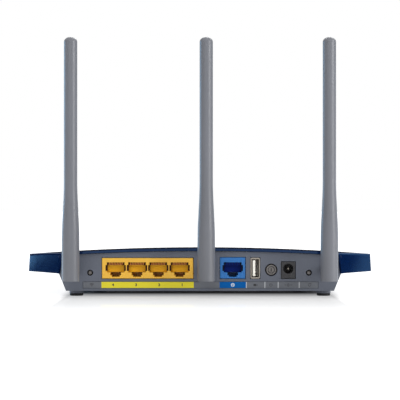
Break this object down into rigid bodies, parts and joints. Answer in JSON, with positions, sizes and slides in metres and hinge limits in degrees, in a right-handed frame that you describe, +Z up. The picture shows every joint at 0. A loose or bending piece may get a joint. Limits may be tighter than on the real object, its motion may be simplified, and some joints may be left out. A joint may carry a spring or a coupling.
{
  "type": "wireless router",
  "caption": "Desktop wireless router: arched gloss cover with swept wings on a grey tub, sockets and buttons along the rear panel, upright stick aerials that unscrew, swivel and fold.",
  "frame": {"origin": "on the table under the middle of the whole object's footprint, aerials included", "axes": "+Z up, +Y towards the front edge with the lights, -Y the rear with the sockets and aerials, X along the sockets"},
  "size_m": [0.244, 0.181, 0.1773],
  "materials": {
    "cover_gloss": "high-gloss navy blue moulding",
    "case_grey": "fine matt blue-grey moulding",
    "aerial_grey": "satin grey moulding",
    "foot_rubber": "black rubber",
    "steel": "zinc-plated steel",
    "nickel_shell": "nickel-plated steel",
    "gold_plate": "gold-plated brass",
    "socket_yellow": "moulded yellow plastic",
    "socket_blue": "moulded blue plastic",
    "black_plastic": "moulded black plastic",
    "white_plastic": "moulded cream plastic",
    "board_green": "solder-masked glass-fibre board",
    "clear_plastic": "clear acrylic light guide",
    "aluminium": "extruded aluminium",
    "label_film": "printed polyester film",
    "cable_black": "black coaxial jacket"
  },
  "bodies": {
    "housing": {"top_cover": "cover_gloss", "bottom_case": "case_grey", "foot_rear_left": "foot_rubber", "foot_rear_right": "foot_rubber", "foot_front_left": "foot_rubber", "foot_front_right": "foot_rubber", "case_screw_rear_left": "steel", "case_screw_rear_right": "steel", "case_screw_front_left": "steel", "case_screw_front_right": "steel", "main_board": "board_green", "lan_jack_block": "socket_yellow", "lan_contacts": "gold_plate", "wan_jack": "socket_blue", "wan_contacts": "gold_plate", "usb_shell": "nickel_shell", "usb_tongue": "white_plastic", "dc_jack": "black_plastic", "dc_jack_pin": "nickel_shell", "power_switch": "black_plastic", "wifi_switch": "black_plastic", "reset_switch": "black_plastic", "light_guide": "clear_plastic", "led_strip": "white_plastic", "processor": "black_plastic", "heat_sink": "aluminium", "memory_chip": "black_plastic", "switch_chip": "black_plastic", "lan_magnetics": "black_plastic", "radio_shield": "nickel_shell", "capacitor": "aluminium", "port_label": "label_film", "rating_label": "label_film", "antenna_left_jack": "gold_plate", "antenna_left_lead": "cable_black", "antenna_middle_jack": "gold_plate", "antenna_middle_lead": "cable_black", "antenna_right_jack": "gold_plate", "antenna_right_lead": "cable_black"},
    "power_button": {"power_button": "case_grey"},
    "wifi_button": {"wifi_button": "case_grey"},
    "reset_button": {"reset_button": "case_grey"},
    "antenna_left_coupling": {"antenna_left_ferrule": "gold_plate"},
    "antenna_left_nut": {"antenna_left_nut": "aerial_grey"},
    "antenna_left_knuckle": {"antenna_left_knuckle": "aerial_grey"},
    "antenna_left_whip": {"antenna_left_whip": "aerial_grey", "antenna_left_pin": "steel", "antenna_left_element": "gold_plate"},
    "antenna_middle_coupling": {"antenna_middle_ferrule": "gold_plate"},
    "antenna_middle_nut": {"antenna_middle_nut": "aerial_grey"},
    "antenna_middle_knuckle": {"antenna_middle_knuckle": "aerial_grey"},
    "antenna_middle_whip": {"antenna_middle_whip": "aerial_grey", "antenna_middle_pin": "steel", "antenna_middle_element": "gold_plate"},
    "antenna_right_coupling": {"antenna_right_ferrule": "gold_plate"},
    "antenna_right_nut": {"antenna_right_nut": "aerial_grey"},
    "antenna_right_knuckle": {"antenna_right_knuckle": "aerial_grey"},
    "antenna_right_whip": {"antenna_right_whip": "aerial_grey", "antenna_right_pin": "steel", "antenna_right_element": "gold_plate"}
  },
  "joints": [
    {"name": "antenna_left_unscrew", "type": "slide", "parent": "housing", "child": "antenna_left_coupling", "axis": [0, -1, 0], "range_m": [0, 0.00423]},
    {"name": "antenna_left_nut_turn", "type": "hinge", "parent": "antenna_left_coupling", "child": "antenna_left_nut", "pos_m": [-0.08795, -0.07205, 0.01755], "axis": [0, -1, 0], "range_deg": [0, 2160]},
    {"name": "antenna_left_swivel", "type": "hinge", "parent": "antenna_left_coupling", "child": "antenna_left_knuckle", "pos_m": [-0.08795, -0.07705, 0.01755], "axis": [0, 1, 0], "range_deg": [-90, 30]},
    {"name": "antenna_left_fold", "type": "hinge", "parent": "antenna_left_knuckle", "child": "antenna_left_whip", "pos_m": [-0.08795, -0.08455, 0.01755], "axis": [1, 0, 0], "range_deg": [0, 90]},
    {"name": "antenna_middle_unscrew", "type": "slide", "parent": "housing", "child": "antenna_middle_coupling", "axis": [0, -1, 0], "range_m": [0, 0.00423]},
    {"name": "antenna_middle_nut_turn", "type": "hinge", "parent": "antenna_middle_coupling", "child": "antenna_middle_nut", "pos_m": [0.00425, -0.07205, 0.01755], "axis": [0, -1, 0], "range_deg": [0, 2160]},
    {"name": "antenna_middle_swivel", "type": "hinge", "parent": "antenna_middle_coupling", "child": "antenna_middle_knuckle", "pos_m": [0.00425, -0.07705, 0.01755], "axis": [0, 1, 0], "range_deg": [-30, 25]},
    {"name": "antenna_middle_fold", "type": "hinge", "parent": "antenna_middle_knuckle", "child": "antenna_middle_whip", "pos_m": [0.00425, -0.08455, 0.01755], "axis": [1, 0, 0], "range_deg": [0, 90]},
    {"name": "antenna_right_unscrew", "type": "slide", "parent": "housing", "child": "antenna_right_coupling", "axis": [0, -1, 0], "range_m": [0, 0.00423]},
    {"name": "antenna_right_nut_turn", "type": "hinge", "parent": "antenna_right_coupling", "child": "antenna_right_nut", "pos_m": [0.08795, -0.07205, 0.01755], "axis": [0, -1, 0], "range_deg": [0, 2160]},
    {"name": "antenna_right_swivel", "type": "hinge", "parent": "antenna_right_coupling", "child": "antenna_right_knuckle", "pos_m": [0.08795, -0.07705, 0.01755], "axis": [0, 1, 0], "range_deg": [-25, 90]},
    {"name": "antenna_right_fold", "type": "hinge", "parent": "antenna_right_knuckle", "child": "antenna_right_whip", "pos_m": [0.08795, -0.08455, 0.01755], "axis": [1, 0, 0], "range_deg": [0, 90]},
    {"name": "power_button_press", "type": "slide", "parent": "housing", "child": "power_button", "axis": [0, 1, 0], "range_m": [0, 0.0022], "stiffness_N_per_m": 500},
    {"name": "wifi_button_press", "type": "slide", "parent": "housing", "child": "wifi_button", "axis": [0, 1, 0], "range_m": [0, 0.0006], "stiffness_N_per_m": 800},
    {"name": "reset_button_press", "type": "slide", "parent": "housing", "child": "reset_button", "axis": [0, 1, 0], "range_m": [0, 0.0006], "stiffness_N_per_m": 800}
  ],
  "couplings": [
    {"joint": "antenna_left_nut_turn", "follows": "antenna_left_unscrew", "rad_per_m": 8905.3},
    {"joint": "antenna_middle_nut_turn", "follows": "antenna_middle_unscrew", "rad_per_m": 8905.3},
    {"joint": "antenna_right_nut_turn", "follows": "antenna_right_unscrew", "rad_per_m": 8905.3}
  ]
}
